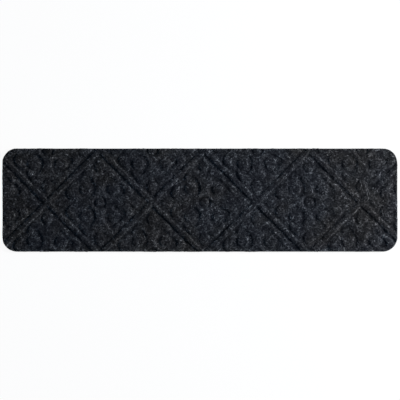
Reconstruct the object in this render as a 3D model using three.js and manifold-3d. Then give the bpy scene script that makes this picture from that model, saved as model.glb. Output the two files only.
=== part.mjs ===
// Stair tread mat with a non-slip underside. A thin rubber sheet carries a needled felt carpet,
// whose face is pressed into a diamond trellis with a scroll ornament in each diamond.
// Millimetres. +X runs along the tread, +Y across it, +Z up; the origin is the middle of the underside.
import * as THREE from "three";
import { mergeVertices } from "three/addons/utils/BufferGeometryUtils.js";
import Module from "manifold-3d";

// Outline of the mat, seen from above
const matLength = 762;
const matWidth = 199;
const cornerRadius = 28;
const cornerSteps = 9;

// Layers, from the tread upwards
const backingThickness = 1.5;
const groundThickness = 2.5; // felt left under the pressed ground
const reliefHeight = 2.0; // from the pressed ground to the top of the raised work
const rimRounding = 1.2; // bevel where the felt was cut through

// Trellis: crossing bands that bound square diamonds, standing on their corners
const diamondDiagonal = 202;
const trellisShiftX = 8.2; // middle of the middle diamond, from the middle of the mat
const trellisShiftY = -4.6;
const bandWidth = 9.5; // at half the relief
const bandFlank = 3; // width of each sloping side
const bandCrown = 3.6; // width of the flat along the top
const bandShoulderRise = 0.75; // share of the relief at which its side turns in towards the crown

// Ornament of one diamond. Its plan sizes are for a diamond of ornamentDiagonal and follow the trellis
const ornamentDiagonal = 202;
const flankWidth = 2.8; // width of the slope around the raised work

// One eighth of the figure's edge at half the relief, from the tip of a bud on the +Y axis,
// round the bud, over a scroll, round its end and back into the stud's groove on the diagonal
const figureEighth = [
  [0, 84.2],
  [4.3, 80.9],
  [8.3, 74.8],
  [9.6, 70.4],
  [8.8, 65.6],
  [6.6, 61.8],
  [7.9, 59.4],
  [11.8, 62.2],
  [18.4, 63.8],
  [25.4, 61.7],
  [31.8, 56.2],
  [37.0, 47.8],
  [38.0, 43.4],
  [36.9, 40.9],
  [34.9, 40.2],
  [33.0, 33.0],
];

// Button in the middle, inside a round groove
const centreButtonRadius = 8.1;
const centreGrooveRadius = 12.6;
const centreSteps = 14;

// Four studs on the diagonals, each inside a groove with a round inner side and a flat outer side
const studOffset = 26.6; // along X and along Y, from the middle of the diamond
const studRadius = 10.9;
const studSteps = 16;
const studCrownShare = 0.55; // part of the stud's radius that is flat on top
const studShoulderDrop = 0.35; // fall from there to the edge of the stud
const studGrooveRadius = 18.8;
const studGrooveSteps = 8;
const lobeRadius = 7.4; // rounded corners at the two ends of the flat side
const lobeSteps = 4;
const lobeForward = 7.3; // corner centres, outwards along the diagonal from the stud
const lobeSideways = 13.8; // and to either side of the diagonal

// Raised work is rooted this deep in the layer below, and cuts run this far past the surface
const overlap = 0.15;

const feltTop = backingThickness + groundThickness + reliefHeight;
const ground = backingThickness + groundThickness;
const halfDiagonal = diamondDiagonal / 2;

const wasm = await Module();
wasm.setup();

function toSolid(geometry) {
  const bare = geometry.clone();
  bare.deleteAttribute("normal");
  bare.deleteAttribute("uv");
  const merged = mergeVertices(bare, 1e-4);
  const mesh = new wasm.Mesh({
    numProp: 3,
    vertProperties: merged.attributes.position.array,
    triVerts: new Uint32Array(merged.index.array),
  });
  return new wasm.Manifold(mesh);
}

function toGeometry(solid) {
  const mesh = solid.getMesh();
  const geometry = new THREE.BufferGeometry();
  geometry.setAttribute("position", new THREE.BufferAttribute(mesh.vertProperties, 3));
  geometry.setIndex(new THREE.BufferAttribute(mesh.triVerts, 1));
  geometry.computeVertexNormals();
  return geometry;
}

// Points of an arc from one angle to another, both in radians
function arc(x, y, radius, from, to, steps) {
  return new THREE.EllipseCurve(x, y, radius, radius, from, to, false).getPoints(steps);
}

function matOutline() {
  const x = matLength / 2 - cornerRadius;
  const y = matWidth / 2 - cornerRadius;
  const quarter = Math.PI / 2;
  return new THREE.Shape([
    ...arc(x, y, cornerRadius, 0, quarter, cornerSteps),
    ...arc(-x, y, cornerRadius, quarter, 2 * quarter, cornerSteps),
    ...arc(-x, -y, cornerRadius, 2 * quarter, 3 * quarter, cornerSteps),
    ...arc(x, -y, cornerRadius, 3 * quarter, 4 * quarter, cornerSteps),
  ]);
}

function slab(bottom, top) {
  const geometry = new THREE.ExtrudeGeometry(matOutline(), {
    depth: top - bottom,
    bevelEnabled: false,
  });
  return geometry.translate(0, 0, bottom);
}

// The felt's outer form, with its top edge bevelled. The same bevel lies below, clear of the felt
function feltEnvelope() {
  const depth = feltTop - rimRounding;
  const geometry = new THREE.ExtrudeGeometry(matOutline(), {
    depth,
    bevelThickness: rimRounding,
    bevelSize: rimRounding,
    bevelOffset: -rimRounding,
    bevelSegments: 2,
  });
  return toSolid(geometry).intersect(toSolid(slab(backingThickness, feltTop + overlap)));
}

// A plate with flanks that slope by flankWidth above and below it: points give their middle line
function flanked(points) {
  return new THREE.ExtrudeGeometry(new THREE.Shape(points), {
    depth: overlap,
    bevelThickness: reliefHeight,
    bevelSize: flankWidth,
    bevelOffset: -flankWidth / 2,
    bevelSegments: 1,
  });
}

// Raised work: the upper flank rises from the ground to the top of the felt
function raised(points) {
  return flanked(points).translate(0, 0, ground - overlap);
}

// A cut: the lower flank falls from the top of the felt to the ground
function cut(points) {
  return flanked(points).translate(0, 0, feltTop);
}

// A round raised stud with a low crown
function stud(radius, steps) {
  const slope = flankWidth / reliefHeight;
  const profile = [
    new THREE.Vector2(0, ground - overlap),
    new THREE.Vector2(radius + flankWidth / 2, ground - overlap),
    new THREE.Vector2(radius + flankWidth / 2, ground),
    new THREE.Vector2(radius - flankWidth / 2 + studShoulderDrop * slope, feltTop - studShoulderDrop),
    new THREE.Vector2(radius * studCrownShare, feltTop),
    new THREE.Vector2(0, feltTop),
  ];
  return new THREE.LatheGeometry(profile, steps).rotateX(Math.PI / 2);
}

// The whole edge of the figure: its eighth, mirrored across the diagonal, in four quarter turns
function figureOutline() {
  const there = figureEighth.map(([x, y]) => new THREE.Vector2(x, y));
  const back = there.slice(1, -1).reverse().map((p) => new THREE.Vector2(p.y, p.x));
  const middle = new THREE.Vector2(0, 0);
  const outline = [];
  for (let quarter = 0; quarter < 4; quarter++) {
    const turn = (-quarter * Math.PI) / 2;
    outline.push(...[...there, ...back].map((p) => p.clone().rotateAround(middle, turn)));
  }
  return outline;
}

// The edge of a stud's groove: a circle and two smaller corner circles with their common tangents.
// Here +X is the outward diagonal
function studGrooveOutline() {
  const reach = Math.hypot(lobeForward, lobeSideways);
  const towards = Math.atan2(lobeSideways, lobeForward);
  const tangent = towards + Math.acos((studGrooveRadius - lobeRadius) / reach);
  const turn = 2 * Math.PI;
  return [
    ...arc(lobeForward, lobeSideways, lobeRadius, 0, tangent, lobeSteps),
    ...arc(0, 0, studGrooveRadius, tangent, turn - tangent, studGrooveSteps),
    ...arc(lobeForward, -lobeSideways, lobeRadius, turn - tangent, turn, lobeSteps),
  ];
}

// Everything raised inside one diamond, centred on the Z axis
function ornament() {
  const circle = arc(0, 0, centreGrooveRadius, 0, 2 * Math.PI, centreSteps).slice(0, -1);
  let solid = toSolid(raised(figureOutline())).subtract(toSolid(cut(circle)));
  solid = solid.add(toSolid(stud(centreButtonRadius, centreSteps)));
  const reach = studOffset * Math.SQRT2;
  for (let quarter = 0; quarter < 4; quarter++) {
    const diagonal = Math.PI / 4 + (quarter * Math.PI) / 2;
    const groove = cut(studGrooveOutline()).translate(reach, 0, 0).rotateZ(diagonal);
    const button = stud(studRadius, studSteps).translate(reach, 0, 0).rotateZ(diagonal);
    solid = solid.subtract(toSolid(groove)).add(toSolid(button));
  }
  const scale = diamondDiagonal / ornamentDiagonal;
  return toGeometry(solid).scale(scale, scale, 1);
}

// Middles of all diamonds that reach onto the mat
function diamondMiddles() {
  const columns = Math.ceil(matLength / diamondDiagonal) + 1;
  const rows = Math.ceil(matWidth / halfDiagonal) + 1;
  const reach = (figureEighth[0][1] * diamondDiagonal) / ornamentDiagonal;
  const middles = [];
  for (let row = -rows; row <= rows; row++) {
    const stagger = row % 2 === 0 ? 0 : halfDiagonal;
    for (let column = -columns; column <= columns; column++) {
      const x = trellisShiftX + column * diamondDiagonal + stagger;
      const y = trellisShiftY + row * halfDiagonal;
      const onMat = Math.abs(x) < matLength / 2 + reach && Math.abs(y) < matWidth / 2 + reach;
      if (onMat) middles.push([x, y]);
    }
  }
  return middles;
}

// One straight band with rounded shoulders, lying along X through the origin
function band() {
  const foot = bandWidth / 2 + bandFlank / 2;
  const shoulder = bandWidth / 2 - bandFlank / 4;
  const section = new THREE.Shape([
    new THREE.Vector2(-foot, ground),
    new THREE.Vector2(-foot, ground - overlap),
    new THREE.Vector2(foot, ground - overlap),
    new THREE.Vector2(foot, ground),
    new THREE.Vector2(shoulder, ground + bandShoulderRise * reliefHeight),
    new THREE.Vector2(bandCrown / 2, feltTop),
    new THREE.Vector2(-bandCrown / 2, feltTop),
    new THREE.Vector2(-shoulder, ground + bandShoulderRise * reliefHeight),
  ]);
  const length = 2 * (matLength + matWidth);
  const geometry = new THREE.ExtrudeGeometry(section, { depth: length, bevelEnabled: false });
  return geometry.translate(0, 0, -length / 2).rotateX(Math.PI / 2).rotateZ(Math.PI / 2);
}

// All bands, both ways across the mat
function trellis() {
  const reach = (matLength + matWidth) / 2;
  const between = halfDiagonal * Math.SQRT2;
  const bands = [];
  for (const side of [1, -1]) {
    const shift = (side * trellisShiftX + trellisShiftY) / Math.SQRT2;
    const count = Math.ceil(reach / between) + 1;
    for (let i = -count; i <= count; i++) {
      const offset = shift + (i + 0.5) * between;
      if (Math.abs(offset) * Math.SQRT2 < reach) {
        bands.push(band().translate(0, offset, 0).rotateZ((-side * Math.PI) / 4));
      }
    }
  }
  return bands;
}

function carpetFace() {
  const eachOrnament = ornament();
  const ornaments = diamondMiddles().map(([x, y]) => eachOrnament.clone().translate(x, y, 0));
  let solid = toSolid(slab(backingThickness, ground));
  for (const geometry of [...trellis(), ...ornaments]) {
    solid = solid.add(toSolid(geometry));
  }
  const geometry = toGeometry(solid.intersect(feltEnvelope()));
  const felt = new THREE.MeshStandardMaterial({ color: 0x212328, roughness: 1, metalness: 0 });
  const mesh = new THREE.Mesh(geometry, felt);
  mesh.name = "carpet_face";
  return mesh;
}

function rubberBacking() {
  const rubber = new THREE.MeshStandardMaterial({ color: 0x18191b, roughness: 0.8, metalness: 0 });
  const mesh = new THREE.Mesh(slab(0, backingThickness), rubber);
  mesh.name = "rubber_backing";
  return mesh;
}

const mat = new THREE.Group();
mat.add(rubberBacking(), carpetFace());

export default mat;
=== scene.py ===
"""A stair tread mat of embossed charcoal felt on a thin rubber sheet, seen from straight above."""
import math

import bpy
import numpy as np
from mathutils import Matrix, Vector


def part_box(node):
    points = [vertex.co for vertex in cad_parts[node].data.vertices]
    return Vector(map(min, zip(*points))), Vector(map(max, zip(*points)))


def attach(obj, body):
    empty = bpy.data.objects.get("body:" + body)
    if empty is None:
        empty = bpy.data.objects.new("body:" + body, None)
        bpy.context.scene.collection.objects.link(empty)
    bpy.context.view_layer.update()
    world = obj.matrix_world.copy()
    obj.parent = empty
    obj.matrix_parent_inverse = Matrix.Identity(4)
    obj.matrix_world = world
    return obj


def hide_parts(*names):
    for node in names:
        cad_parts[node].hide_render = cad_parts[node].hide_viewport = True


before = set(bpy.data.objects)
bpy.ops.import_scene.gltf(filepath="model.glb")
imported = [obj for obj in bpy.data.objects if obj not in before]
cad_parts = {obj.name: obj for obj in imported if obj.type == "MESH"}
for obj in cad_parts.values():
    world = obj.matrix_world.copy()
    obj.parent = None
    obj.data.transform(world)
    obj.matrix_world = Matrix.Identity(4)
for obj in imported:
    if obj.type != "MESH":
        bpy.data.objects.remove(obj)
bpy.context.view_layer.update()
MM = 0.001

# Outline and layers, in millimetres. Length, width and levels come from the felt's solid
FELT_LOW, FELT_HIGH = (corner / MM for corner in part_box("carpet_face"))
LENGTH = FELT_HIGH.x - FELT_LOW.x
WIDTH = FELT_HIGH.y - FELT_LOW.y
CORNER_RADIUS = 28.0
RELIEF = 2.0
GROUND = FELT_HIGH.z - RELIEF

# Trellis of crossing bands, in millimetres. Here and below, heights are shares of the relief
DIAGONAL = 202.0
TRELLIS_SHIFT = (8.2, -4.6)
BAND_HALF, BAND_SLOPE = 4.75, 3.0
BAND_HEIGHT, BAND_FALL = 0.93, 0.14
NODE_DIP, NODE_RADIUS = 0.16, 9.0

# Scroll figure of one diamond, in millimetres from its middle: an eighth of its edge, its heights
SLOPE = 5.2
FIGURE_EIGHTH = [
    (0, 84.2), (4.3, 80.9), (8.3, 74.8), (9.6, 70.4), (8.8, 65.6), (6.6, 61.8),
    (7.9, 59.4), (11.8, 62.2), (18.4, 63.8), (25.4, 61.7), (31.8, 56.2), (37.0, 47.8),
    (38.0, 43.4), (36.9, 40.9), (34.9, 40.2), (31.0, 36.0),
]
FIGURE_MIDDLE = [(28, 20), (5, -1), (-1, -1), (-1, FIGURE_EIGHTH[0][1])]
FIGURE_HEIGHT, FIGURE_SWELL = 0.76, 8.0
STEM_DIP, STEM_HALF, STEM_FROM, STEM_FADE = 0.15, 9.0, 45, 14
CREASE = [(12, 65.2), (8.4, 61.0), (5.4, 57.6)]
CREASE_DEPTH, CREASE_HALF = 0.6, 1.5
CURVE_STEPS = 4

# Its button, studs and grooves, and the small bridge between two scroll ends
BUTTON_RADIUS, BUTTON_GROOVE, BUTTON_SLOPE, BUTTON_HEIGHT = 8.1, 12.6, 3.4, 0.66
STUD_AT, STUD_RADIUS, STUD_GROOVE, STUD_HEIGHT = 26.6, 10.9, 18.8, 0.84
DIMPLE_DEPTH, DIMPLE_RADIUS = 0.05, 3.0
LOBE_RADIUS, LOBE_FORWARD, LOBE_SIDEWAYS = 7.4, 7.3, 13.8
BRIDGE_AT, BRIDGE_RADIUS, BRIDGE_SLOPE, BRIDGE_HEIGHT = 38.3, 3.6, 3.0, 0.28


def fold(x, y):
    """Each point's place in its diamond, mirrored into the eighth beside the +Y axis."""
    half = DIAGONAL / 2
    dx = np.mod(x - TRELLIS_SHIFT[0] + half, DIAGONAL) - half
    dy = np.mod(y - TRELLIS_SHIFT[1] + half, DIAGONAL) - half
    beyond = np.abs(dx) + np.abs(dy) > half
    dx = np.abs(np.where(beyond, dx - np.copysign(half, dx), dx))
    dy = np.abs(np.where(beyond, dy - np.copysign(half, dy), dy))
    return np.minimum(dx, dy), np.maximum(dx, dy)


def smooth_line(points):
    """A Catmull-Rom curve through the points."""
    p = np.array([points[0], *points, points[-1]], float)
    t = np.linspace(0, 1, CURVE_STEPS, endpoint=False)[:, None]
    line = []
    for a, b, c, d in zip(p, p[1:], p[2:], p[3:]):
        bend = 2 * a - 5 * b + 4 * c - d + t * (3 * (b - c) + d - a)
        line.append(b + 0.5 * t * (c - a + t * bend))
    return np.vstack([*line, p[-1:]])


def edge_distance(x, y, line):
    """Distance of each point to the nearest stretch of an open line."""
    nearest = np.full(x.shape, 1e9)
    for (ax, ay), (bx, by) in zip(line, line[1:]):
        ux, uy = bx - ax, by - ay
        along = np.clip(((x - ax) * ux + (y - ay) * uy) / (ux * ux + uy * uy), 0, 1)
        np.minimum(nearest, np.hypot(x - ax - along * ux, y - ay - along * uy), out=nearest)
    return nearest


def within(x, y, outline):
    """Whether each point lies inside a closed outline."""
    inside = np.zeros(x.shape, bool)
    for (ax, ay), (bx, by) in zip(outline, np.roll(outline, -1, axis=0)):
        if ay != by:
            crosses = ((ay > y) != (by > y)) & (x < ax + (y - ay) * (bx - ax) / (by - ay))
            inside ^= crosses
    return inside


def into_figure(u, v):
    """Distance into the scroll figure, negative outside it."""
    edge = smooth_line(FIGURE_EIGHTH)
    inside = within(u, v, np.vstack([edge, FIGURE_MIDDLE]))
    return np.where(inside, 1, -1) * edge_distance(u, v, edge)


def into_stud_groove(a, b):
    """Distance into the groove round a stud, whose edge joins three circles by their tangents."""
    reach = math.hypot(LOBE_FORWARD, LOBE_SIDEWAYS)
    bearing = math.atan2(LOBE_SIDEWAYS, LOBE_FORWARD)
    tangent = bearing + math.acos((STUD_GROOVE - LOBE_RADIUS) / reach)
    low, high = np.linspace(0, tangent, 12), np.linspace(tangent, math.pi, 16)
    lobe_x = LOBE_FORWARD + LOBE_RADIUS * np.cos(low)
    lobe_y = LOBE_SIDEWAYS + LOBE_RADIUS * np.sin(low)
    back = np.stack([STUD_GROOVE * np.cos(high), STUD_GROOVE * np.sin(high)], 1)
    first, last = [(LOBE_FORWARD + LOBE_RADIUS, -1)], [(-STUD_GROOVE, -1)]
    edge = np.vstack([first, np.stack([lobe_x, lobe_y], 1), back, last])
    return np.where(within(a, b, edge), 1, -1) * edge_distance(a, b, edge)


def ramp(distance, width):
    """0 to 1 across an edge, over width, with rounded foot and shoulder."""
    t = np.clip(distance / width + 0.5, 0, 1)
    return t * t * (3 - 2 * t)


def bulge(distance, length):
    """How far the face has risen again away from an edge, 0 to 1."""
    return 1 - np.exp(-np.maximum(distance, 0) / length)


def bell(distance, width):
    """1 at distance 0, falling off evenly to both sides over width."""
    return np.exp(-((distance / width) ** 2))


def relief(x, y):
    """Height of the pressed pattern, 0 on the ground and 1 on top."""
    u, v = fold(x, y)
    a = (u + v - 2 * STUD_AT) / math.sqrt(2)
    b = np.abs(v - u) / math.sqrt(2)
    from_middle = np.hypot(u, v)
    from_stud = np.hypot(a, b)

    # The figure, less its five round grooves, lower along its stems and creased beside its buds
    outside_grooves = np.minimum(-into_stud_groove(a, b), from_middle - BUTTON_GROOVE)
    into = np.minimum(into_figure(u, v), outside_grooves)
    figure = FIGURE_HEIGHT + (1 - FIGURE_HEIGHT) * bulge(into, FIGURE_SWELL)
    figure *= ramp(into, SLOPE)
    figure *= 1 - STEM_DIP * bell(u, STEM_HALF) * ramp(v - STEM_FROM, STEM_FADE)
    figure *= 1 - CREASE_DEPTH * bell(edge_distance(u, v, smooth_line(CREASE)), CREASE_HALF)
    from_bridge = np.hypot(u - BRIDGE_AT, v - BRIDGE_AT)
    bridge = BRIDGE_HEIGHT * ramp(BRIDGE_RADIUS - from_bridge, BRIDGE_SLOPE)

    stud = STUD_HEIGHT - DIMPLE_DEPTH * bell(from_stud, DIMPLE_RADIUS)
    stud *= ramp(STUD_RADIUS - from_stud, SLOPE)
    button = BUTTON_HEIGHT * ramp(BUTTON_RADIUS - from_middle, BUTTON_SLOPE)

    aside = (DIAGONAL / 2 - u - v) / math.sqrt(2)
    from_node = np.hypot(u, DIAGONAL / 2 - v)
    band = BAND_HEIGHT - BAND_FALL * (aside / BAND_HALF) ** 2
    band *= ramp(BAND_HALF - aside, BAND_SLOPE)
    band *= 1 - NODE_DIP * bell(from_node, NODE_RADIUS)
    return np.maximum.reduce([figure, bridge, stud, button, band])


def blurred(field, sigma):
    """A field smoothed by a Gaussian of sigma cells, wrapping at its edges."""
    rows = np.fft.fftfreq(field.shape[0])[:, None]
    columns = np.fft.rfftfreq(field.shape[1])[None, :]
    keep = np.exp(-2 * (math.pi * sigma) ** 2 * (rows**2 + columns**2))
    return np.fft.irfft2(np.fft.rfft2(field) * keep, s=field.shape)


def sampled(field, cell, x, y):
    """A field's value at each point, read evenly between its cells and wrapping at its edges."""
    column, row = np.floor(x / cell).astype(int), np.floor(y / cell).astype(int)
    tx, ty = x / cell - column, y / cell - row
    rows, columns = field.shape

    def along_row(row):
        left, right = field[row % rows, column % columns], field[row % rows, (column + 1) % columns]
        return left * (1 - tx) + right * tx

    return along_row(row) * (1 - ty) + along_row(row + 1) * ty


def fibre_field(seed, count, length, sigma, cell=0.6):
    """A field over the mat of tangled fibre bundles: mean 0, deviation 1.

    count bundles of a length are drawn and blurred by sigma. Lengths are in millimetres.
    """
    spare_cells, curl_spread = 8, 1.2
    rng = np.random.default_rng(seed)
    size = (math.ceil(WIDTH / cell) + spare_cells, math.ceil(LENGTH / cell) + spare_cells)
    steps = max(2, round(length / cell))
    start = rng.random((count, 2)) * (size[1], size[0])
    heading = rng.random(count) * 2 * math.pi
    curl = rng.normal(0, curl_spread / steps, count)
    weight = rng.normal(0, 1, count)
    field = np.zeros(size)
    for _ in range(steps):
        start += np.stack([np.cos(heading), np.sin(heading)], 1)
        heading += curl
        column = start[:, 0].astype(int) % size[1]
        row = start[:, 1].astype(int) % size[0]
        np.add.at(field, (row, column), weight)
    field = blurred(field, sigma / cell)
    field = (field - field.mean()) / field.std()
    return lambda x, y: sampled(field, cell, x, y)


# Painted shade and painted highlights that follow the relief, and a painted highlight along the
# rim. Blurs and rings are in millimetres
TILE_CELLS = 252
SLOPE_HIGHLIGHT, HOLLOW_SHADE = 2.0, 3.6
HOLLOW_BLUR, HOLLOW_FROM, PAINTED_SHADING_BLUR = 3.0, 0.2, 0.5
RING_SHADE, RING_SHADE_AT, RING_SHADE_HALF = 0.36, 10.6, 2.4
RING_HIGHLIGHT, RING_HIGHLIGHT_AT, RING_HIGHLIGHT_HALF = 0.22, 16.0, 2.0
RIM_HIGHLIGHT, RIM_HIGHLIGHT_WIDTH = 0.45, 7.0


def painted_shading_at(x, y):
    """Painted shading at each point: painted shade in the hollows and in a ring round the button,
    painted highlights on the slopes and just outside the button's groove.
    """
    cell = DIAGONAL / TILE_CELLS
    places = np.arange(TILE_CELLS) * cell
    plan = np.meshgrid(places, places)
    tile = relief(*plan)
    around = blurred(tile, HOLLOW_BLUR / cell)
    # Painted shade where the felt lies low among raised parts, and a painted highlight that grows
    # with the slope
    hollow = np.clip(1 - 2 * tile, 0, 1) * np.clip(around - HOLLOW_FROM, 0, 1)
    rise = np.hypot(*np.gradient(np.pad(tile, 1, mode="wrap"), cell))[1:-1, 1:-1]
    from_middle = np.hypot(*fold(*plan))
    # A painted shade ring in the groove round the button, less a painted highlight ring outside
    # that groove
    ring = RING_SHADE * bell(from_middle - RING_SHADE_AT, RING_SHADE_HALF)
    ring -= RING_HIGHLIGHT * bell(from_middle - RING_HIGHLIGHT_AT, RING_HIGHLIGHT_HALF)
    painted_shading = blurred(np.exp(SLOPE_HIGHLIGHT * rise - HOLLOW_SHADE * hollow - ring), PAINTED_SHADING_BLUR / cell)
    return sampled(painted_shading, cell, x, y)


# Spacing of the felt's surface points, in millimetres: fine at the rim, even elsewhere
CELL = 1.34
RIM_STEPS = [0.0, 0.4, 1.0, 1.9, 3.0]

# How far the felt strays from the plain pattern: in plan and height, in its fibres and at its rim
DRIFT, LOFT = 0.4, 0.12
NAP_ON_GROUND = 0.45
CLUMP_HEIGHT, STRAND_HEIGHT, SWELL_HEIGHT = 0.10, 0.06, 0.05
RIM_ROUNDING, RIM_DROP = 1.6, 0.8
TUFT_REACH, SWAY_REACH = 0.14, 0.22
CUT_STEPS = (0.3, 0.62, 1.0)


def steps_from_rim():
    """Distances from the rim to the corner circles' centres."""
    inner = CORNER_RADIUS - RIM_STEPS[-1]
    rest = np.linspace(RIM_STEPS[-1], CORNER_RADIUS, round(inner / CELL) + 1)
    return np.concatenate([RIM_STEPS, rest[1:]])


def axis_places(size):
    """Places along one side of the mat, with the rim's finer steps at both ends."""
    rim = steps_from_rim()
    inner = size / 2 - CORNER_RADIUS
    middle = np.linspace(-inner, inner, round(2 * inner / CELL) + 1)
    return np.concatenate([rim - size / 2, middle[1:-1], size / 2 - rim[::-1]])


def plan_mesh():
    """The mat's plan as points and quads: a grid, with a fan of rings in each rounded corner."""
    xs, ys = axis_places(LENGTH), axis_places(WIDTH)
    rings = len(steps_from_rim())
    points, quads = [], []
    grid = -np.ones((len(xs), len(ys)), int)
    inner_x = np.abs(xs) <= LENGTH / 2 - CORNER_RADIUS + 1e-6
    inner_y = np.abs(ys) <= WIDTH / 2 - CORNER_RADIUS + 1e-6
    for i, x in enumerate(xs):
        for j, y in enumerate(ys):
            if inner_x[i] or inner_y[j]:
                grid[i, j] = len(points)
                points.append((x, y))
    for i in range(len(xs) - 1):
        for j in range(len(ys) - 1):
            quad = (grid[i, j], grid[i + 1, j], grid[i + 1, j + 1], grid[i, j + 1])
            if min(quad) >= 0:
                quads.append(quad)

    turns = round(CORNER_RADIUS * math.pi / 2 / CELL)
    radii = CORNER_RADIUS - steps_from_rim()
    for sx in (-1, 1):
        for sy in (-1, 1):
            cx = sx * (LENGTH / 2 - CORNER_RADIUS)
            cy = sy * (WIDTH / 2 - CORNER_RADIUS)
            ci = rings - 1 if sx < 0 else len(xs) - rings
            cj = rings - 1 if sy < 0 else len(ys) - rings
            fan = []
            for ring, radius in enumerate(radii):
                out = rings - 1 - ring
                row = [grid[ci + sx * out, cj]]
                for k in range(1, turns):
                    angle = math.pi / 2 * k / turns
                    if ring == rings - 1:
                        row.append(grid[ci, cj])
                        continue
                    row.append(len(points))
                    x, y = radius * math.cos(angle), radius * math.sin(angle)
                    points.append((cx + sx * x, cy + sy * y))
                row.append(grid[ci, cj + sy * out])
                fan.append(row)
            for outer, inner in zip(fan, fan[1:]):
                for k in range(turns):
                    quad = [outer[k], outer[k + 1], inner[k + 1], inner[k]]
                    quad = list(dict.fromkeys(quad))
                    quads.append(tuple(quad if sx * sy > 0 else quad[::-1]))
    return np.array(points), quads


def rim_distance(x, y):
    """How far each point lies inside the rounded outline."""
    qx = np.abs(x) - (LENGTH / 2 - CORNER_RADIUS)
    qy = np.abs(y) - (WIDTH / 2 - CORNER_RADIUS)
    outside = np.hypot(np.maximum(qx, 0), np.maximum(qy, 0))
    return CORNER_RADIUS - outside - np.minimum(np.maximum(qx, qy), 0)


def felt_heights(x, y):
    """Height of the felt's face above the tread, and its painted shading, with a painted highlight
    along the rim.
    """
    drift_x = fibre_field(seed=14, count=9000, length=12.0, sigma=3.0, cell=1.0)
    drift_y = fibre_field(seed=15, count=9000, length=12.0, sigma=3.0, cell=1.0)
    loft = fibre_field(seed=16, count=9000, length=12.0, sigma=3.5, cell=1.0)
    px, py = x + DRIFT * drift_x(x, y), y + DRIFT * drift_y(x, y)
    raised = relief(px, py) * (1 + LOFT * loft(x, y))
    clumps = fibre_field(seed=11, count=52000, length=5.0, sigma=1.1)
    strands = fibre_field(seed=12, count=90000, length=7.0, sigma=0.75)
    swell = fibre_field(seed=13, count=700, length=30.0, sigma=14.0, cell=2.0)
    nap = NAP_ON_GROUND + (1 - NAP_ON_GROUND) * raised
    z = GROUND + RELIEF * raised + SWELL_HEIGHT * swell(x, y)
    z += nap * (CLUMP_HEIGHT * clumps(x, y) + STRAND_HEIGHT * strands(x, y))
    inside = rim_distance(x, y)
    near = np.clip(1 - inside / RIM_ROUNDING, 0, 1)
    z -= RIM_ROUNDING * (1 - np.sqrt(1 - near**2)) * RIM_DROP
    # The second value is the painted shading, with a painted highlight that grows towards the rim
    return z, painted_shading_at(px, py) * (1 + RIM_HIGHLIGHT * np.clip(1 - inside / RIM_HIGHLIGHT_WIDTH, 0, 1))


def ragged(x, y):
    """The points near the rim moved a little in or out, as on an edge cut through loose fibres."""
    step = 0.01
    inside = rim_distance(x, y)
    out_x = (inside - rim_distance(x + step, y)) / step
    out_y = (inside - rim_distance(x, y + step)) / step
    tufts = fibre_field(seed=17, count=60000, length=3.0, sigma=0.7)
    sway = fibre_field(seed=18, count=900, length=20.0, sigma=8.0, cell=2.0)
    move = TUFT_REACH * tufts(x, y) + SWAY_REACH * sway(x, y)
    move *= np.clip(1 - inside / RIM_STEPS[-1], 0, 1)
    return x + out_x * move, y + out_y * move


def rim_loop(faces):
    """The points along the rim in order: those on the edges that only one face has."""
    edges = {(a, b) for face in faces for a, b in zip(face, (*face[1:], face[0]))}
    onward = {a: b for a, b in edges if (b, a) not in edges}
    loop = [min(onward)]
    while onward[loop[-1]] != loop[0]:
        loop.append(onward[loop[-1]])
    return np.array(loop)


def felt_piece():
    """The felt layer: its face with the pressed pattern, its cut edge and its underside."""
    plan, faces = plan_mesh()
    x, y = plan[:, 0], plan[:, 1]
    z, painted_shading = felt_heights(x, y)
    x, y = ragged(x, y)

    # The cut edge goes down in steps from the rim to the rubber
    rim = above = rim_loop(faces)
    for share in CUT_STEPS:
        below = len(z) + np.arange(len(rim))
        faces += zip(np.roll(above, -1), above, below, np.roll(below, -1))
        x, y = np.append(x, x[rim]), np.append(y, y[rim])
        z = np.append(z, z[rim] + (FELT_LOW.z - z[rim]) * share)
        painted_shading = np.append(painted_shading, np.ones(len(rim)))
        above = below
    faces.append(tuple(above[::-1]))

    mesh = bpy.data.meshes.new("embossed_felt")
    mesh.from_pydata(np.stack([x, y, z], 1) * MM, [], faces)
    # The painted shade and highlights are kept on the points, for the felt's colour
    mesh.attributes.new("painted_shading", "FLOAT", "POINT").data.foreach_set("value", painted_shading)
    mesh.shade_smooth()
    felt = bpy.data.objects.new("embossed_felt", mesh)
    bpy.context.collection.objects.link(felt)
    return felt


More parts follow.
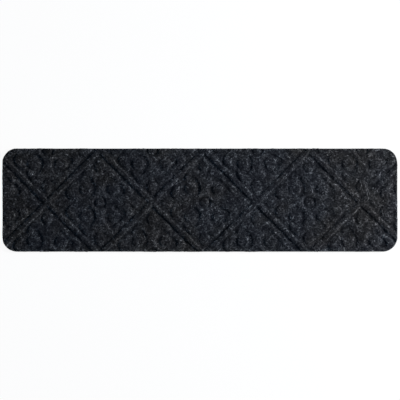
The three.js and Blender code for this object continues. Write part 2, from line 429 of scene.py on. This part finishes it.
class Nodes:
    """Adds shader nodes to one material."""

    def __init__(self, name):
        self.material = bpy.data.materials.new(name)
        self.material.use_nodes = True
        self.tree = self.material.node_tree
        self.shader = self.tree.nodes["Principled BSDF"]
        self.place = self.add("ShaderNodeTexCoord").outputs["Object"]

    def add(self, kind, **settings):
        """A new node. Each setting goes to its socket of that name, or else to the node itself."""
        node = self.tree.nodes.new(kind)
        for key, value in settings.items():
            if key in node.inputs:
                node.inputs[key].default_value = value
            else:
                setattr(node, key, value)
        return node

    def link(self, source, target):
        self.tree.links.new(source, target)

    def math(self, operation, a, b=0.0):
        node = self.add("ShaderNodeMath", operation=operation)
        for socket, value in zip(node.inputs, (a, b)):
            if isinstance(value, (int, float)):
                socket.default_value = value
            else:
                self.link(value, socket)
        return node.outputs[0]

    def vector(self, operation, vector, value=(0, 0, 0), output="Vector"):
        """The result of a vector operation with a constant."""
        node = self.add("ShaderNodeVectorMath", operation=operation)
        self.link(vector, node.inputs[0])
        node.inputs[1].default_value = value
        return node.outputs[output]

    def blend(self, a, share_a, b, share_b):
        """Two values, each times its share, added up."""
        parts = (self.math("MULTIPLY", a, share_a), self.math("MULTIPLY", b, share_b))
        return self.math("ADD", *parts)

    def varied(self, value, noise, share):
        """The value plus a noise around 0, times its share."""
        around_zero = self.math("SUBTRACT", noise, 0.5)
        return self.math("ADD", value, self.math("MULTIPLY", around_zero, share))

    def ramp(self, value, stops):
        """The colour at a value, between (value, colour) stops."""
        node = self.add("ShaderNodeValToRGB")
        for element, (at, colour) in zip(node.color_ramp.elements, stops, strict=True):
            element.position = at
            element.color = (*colour, 1)
        self.link(value, node.inputs["Fac"])
        return node.outputs["Color"]

    def lit(self, dark, light, level):
        """The dark colour plus level times the light one."""
        node = self.add("ShaderNodeVectorMath", operation="MULTIPLY_ADD")
        for value, socket in zip((level, light, dark), node.inputs):
            self.link(value, socket)
        return node.outputs["Vector"]

    def noise(self, vector, scale, detail=2.0, roughness=0.5):
        node = self.add("ShaderNodeTexNoise", Scale=scale, Detail=detail, Roughness=roughness)
        self.link(vector, node.inputs["Vector"])
        return node.outputs["Fac"]

    def strands(self, layers, turn, stretch, scale, scale_step):
        """The strongest of some layers of noise, each drawn out along another way in the plan."""
        strongest = None
        for k in range(layers):
            node = self.add("ShaderNodeMapping", vector_type="TEXTURE")
            node.inputs["Rotation"].default_value = (0, 0, k * math.pi / layers + turn)
            node.inputs["Scale"].default_value = (stretch, 1, 1)
            self.link(self.place, node.inputs["Vector"])
            layer = self.noise(node.outputs["Vector"], scale + scale_step * k, detail=1.0)
            strongest = layer if strongest is None else self.math("MAXIMUM", strongest, layer)
        return strongest

    def bump(self, height, distance):
        """Gives the surface a fine relief, distance in metres."""
        node = self.add("ShaderNodeBump", Strength=0.5, Distance=distance)
        self.link(height, node.inputs["Height"])
        self.link(node.outputs["Normal"], self.shader.inputs["Normal"])


# Colours of the felt's dark ground and of its pale fibres, each from greyish to bluish
FELT_DARK = [(0.0005, 0.0006, 0.0010), (0.0000, 0.0006, 0.0027)]
FELT_GREY = [(0.0125, 0.0124, 0.0127), (0.0116, 0.0125, 0.0137)]
HUE_RANGE = (0.42, 0.58)
BROAD_HUE_AT, BROAD_HUE_SCALE, HUE_SCALE = (0, 0, 6.25), 4, 15

# Tone of its fibres: the tone that counts as 1, how fast it rises from there, and its limit
TONE_MIDDLE, TONE_SPREAD, TONE_LIMIT = 0.64, 15.5, 12.0
FINE_SHARE, SPECKLE_SHARE, PATCH_SHARE = 0.3, 0.36, 0.16
SPECKLE_SCALE, PATCH_SCALE = 300, 95

RUBBER_TONES = [(0.35, (0.0065, 0.0068, 0.0075)), (0.65, (0.0135, 0.0140, 0.0152))]
RUBBER_ROUGHNESS = [(0.3, (0.62,) * 3), (0.7, (0.82,) * 3)]
GRAIN_SCALE, CLOUD_SCALE = 900, 25


def felt_material():
    """Needled felt: tangled charcoal fibres with lighter grey ones. Its tone carries painted shade
    in the hollows and painted highlights on the slopes and along the rim.
    """
    n = Nodes("charcoal_felt")
    coarse = n.strands(layers=6, turn=0.3, stretch=6.5, scale=480, scale_step=40)
    fine = n.strands(layers=3, turn=0.9, stretch=8.0, scale=2100, scale_step=260)
    fibres = n.blend(coarse, 1 - FINE_SHARE, fine, FINE_SHARE)

    tone = n.varied(fibres, n.noise(n.place, SPECKLE_SCALE, roughness=0.6), SPECKLE_SHARE)
    tone = n.varied(tone, n.noise(n.place, PATCH_SCALE, detail=1.0), PATCH_SHARE)
    level = n.math("MULTIPLY", n.math("SUBTRACT", tone, TONE_MIDDLE), TONE_SPREAD)
    level = n.math("MINIMUM", n.math("EXPONENT", level), TONE_LIMIT)
    # Painted shade and highlights from the relief and the rim, which scale the share of the pale
    # fibres
    painted_shading = n.add("ShaderNodeAttribute", attribute_name="painted_shading").outputs["Fac"]

    broad = n.noise(n.vector("ADD", n.place, BROAD_HUE_AT), BROAD_HUE_SCALE, detail=1.0)
    hue = n.blend(broad, 0.5, n.noise(n.place, HUE_SCALE), 0.5)
    dark, grey = (n.ramp(hue, zip(HUE_RANGE, pair)) for pair in (FELT_DARK, FELT_GREY))
    colour = n.lit(dark, grey, n.math("MULTIPLY", level, painted_shading))
    n.link(colour, n.shader.inputs["Base Color"])
    n.shader.inputs["Roughness"].default_value = 0.92
    n.shader.inputs["Specular IOR Level"].default_value = 0.08
    n.shader.inputs["Sheen Weight"].default_value = 0.03
    n.shader.inputs["Sheen Roughness"].default_value = 0.5
    n.bump(fibres, distance=0.0006)
    return n.material


def rubber_material():
    """Matt black rubber with a fine moulded grain."""
    n = Nodes("black_rubber")
    grain = n.noise(n.place, GRAIN_SCALE, detail=3.0, roughness=0.6)
    cloud = n.noise(n.place, CLOUD_SCALE, detail=3.0)
    n.link(n.ramp(n.blend(grain, 0.5, cloud, 0.5), RUBBER_TONES), n.shader.inputs["Base Color"])
    n.link(n.ramp(grain, RUBBER_ROUGHNESS), n.shader.inputs["Roughness"])
    n.bump(grain, distance=0.0003)
    return n.material


# Floor, just below the mat. FLOOR_WHITE is the share of its seen colour that is plain white
FLOOR_SIZE, FLOOR_GAP = 12, 0.0002
FLOOR_GREY, FLOOR_WHITE = 0.9, 0.93
HIDDEN_INSET = 1.5


def floor_material():
    """A floor that looks white from above and takes the mat's shadow.

    It is clear when seen from below, and clear under the mat, where it would darken the underside.
    """
    n = Nodes("white_floor")
    n.shader.inputs["Base Color"].default_value = (FLOOR_GREY, FLOOR_GREY, FLOOR_GREY, 1)
    n.shader.inputs["Roughness"].default_value = 0.9
    n.shader.inputs["Specular IOR Level"].default_value = 0.0
    white = n.add("ShaderNodeEmission", Color=(1, 1, 1, 1), Strength=1.0)
    camera_ray = n.add("ShaderNodeLightPath").outputs["Is Camera Ray"]
    mix = n.add("ShaderNodeMixShader")
    n.link(n.math("MULTIPLY", camera_ray, FLOOR_WHITE), mix.inputs["Fac"])
    n.link(n.shader.outputs["BSDF"], mix.inputs[1])
    n.link(white.outputs["Emission"], mix.inputs[2])

    # Distance from the corner circles' centres, which tells what lies under the rounded outline
    centres = (*((size / 2 - CORNER_RADIUS) * MM for size in (LENGTH, WIDTH)), 1)
    beyond = n.vector("SUBTRACT", n.vector("ABSOLUTE", n.place), centres)
    reach = n.vector("LENGTH", n.vector("MAXIMUM", beyond), output="Value")
    hidden = n.math("LESS_THAN", reach, (CORNER_RADIUS - HIDDEN_INSET) * MM)
    clear = n.math("MAXIMUM", n.add("ShaderNodeNewGeometry").outputs["Backfacing"], hidden)
    shown = n.add("ShaderNodeMixShader")
    n.link(clear, shown.inputs["Fac"])
    n.link(mix.outputs["Shader"], shown.inputs[1])
    n.link(n.add("ShaderNodeBsdfTransparent").outputs["BSDF"], shown.inputs[2])
    n.link(shown.outputs["Shader"], n.tree.nodes["Material Output"].inputs["Surface"])
    return n.material


def plane(name, size, z):
    """A level square round the origin."""
    mesh = bpy.data.meshes.new(name)
    h = size / 2
    mesh.from_pydata([(-h, -h, z), (h, -h, z), (h, h, z), (-h, h, z)], [], [(0, 1, 2, 3)])
    made = bpy.data.objects.new(name, mesh)
    bpy.context.collection.objects.link(made)
    return made


# Key lamp: angles in degrees, lengths in metres, power in watts. Fill: the world's colour
KEY_AZIMUTH, KEY_ELEVATION, KEY_DISTANCE = 9.7, 20.6, 2.25
KEY_SIZE, KEY_POWER = 0.36, 117.5
FILL_COLOUR, FILL_STRENGTH = (0.7, 1, 1.4, 1), 0.22


def set_lights():
    """A low key from the right, a little above the long axis, and a weak even fill."""
    azimuth, elevation = math.radians(KEY_AZIMUTH), math.radians(KEY_ELEVATION)
    light = bpy.data.lights.new("key", "AREA")
    light.shape = "RECTANGLE"
    light.size, light.size_y = KEY_SIZE, KEY_SIZE
    light.energy = KEY_POWER
    lamp = bpy.data.objects.new("key", light)
    lamp.location = KEY_DISTANCE * Vector((
        math.cos(azimuth) * math.cos(elevation),
        math.sin(azimuth) * math.cos(elevation),
        math.sin(elevation),
    ))
    lamp.rotation_mode = "QUATERNION"
    lamp.rotation_quaternion = (-lamp.location).to_track_quat("-Z", "Y")
    bpy.context.collection.objects.link(lamp)

    world = bpy.data.worlds.new("fill")
    world.use_nodes = True
    nodes, links = world.node_tree.nodes, world.node_tree.links
    fill = nodes["Background"]
    fill.inputs["Color"].default_value = FILL_COLOUR
    fill.inputs["Strength"].default_value = FILL_STRENGTH
    white = nodes.new("ShaderNodeBackground")
    white.inputs["Color"].default_value = (1, 1, 1, 1)
    seen = nodes.new("ShaderNodeMixShader")
    links.new(nodes.new("ShaderNodeLightPath").outputs["Is Camera Ray"], seen.inputs["Fac"])
    links.new(fill.outputs["Background"], seen.inputs[1])
    links.new(white.outputs["Background"], seen.inputs[2])
    links.new(seen.outputs["Shader"], nodes["World Output"].inputs["Surface"])
    bpy.context.scene.world = world


# Camera: lens and sensor in millimetres, the rest in metres and pixels
LENS, SENSOR, OFF_CENTRE = 200.0, 36.0, (0.0002, 0.0002)
PICTURE_PIXELS, MAT_PIXELS = 400, 395


def set_camera():
    """Straight down, with a long lens, the mat spanning nearly the whole picture."""
    seen = LENGTH * MM * PICTURE_PIXELS / MAT_PIXELS
    camera = bpy.data.cameras.new("camera")
    camera.lens, camera.sensor_width = LENS, SENSOR
    camera.clip_start, camera.clip_end = 0.1, 20
    eye = bpy.data.objects.new("camera", camera)
    eye.location = (*OFF_CENTRE, seen * LENS / SENSOR + GROUND * MM)
    bpy.context.collection.objects.link(eye)
    bpy.context.scene.camera = eye


def dress(obj, material):
    """Gives an object this material alone."""
    obj.data.materials.clear()
    obj.data.materials.append(material)


set_camera()
felt = felt_piece()
dress(felt, felt_material())
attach(felt, "root")
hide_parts("carpet_face")

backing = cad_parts["rubber_backing"]
dress(backing, rubber_material())

floor = plane("floor", FLOOR_SIZE, -FLOOR_GAP)
dress(floor, floor_material())
set_lights()

bpy.context.scene.view_settings.view_transform = "Standard"
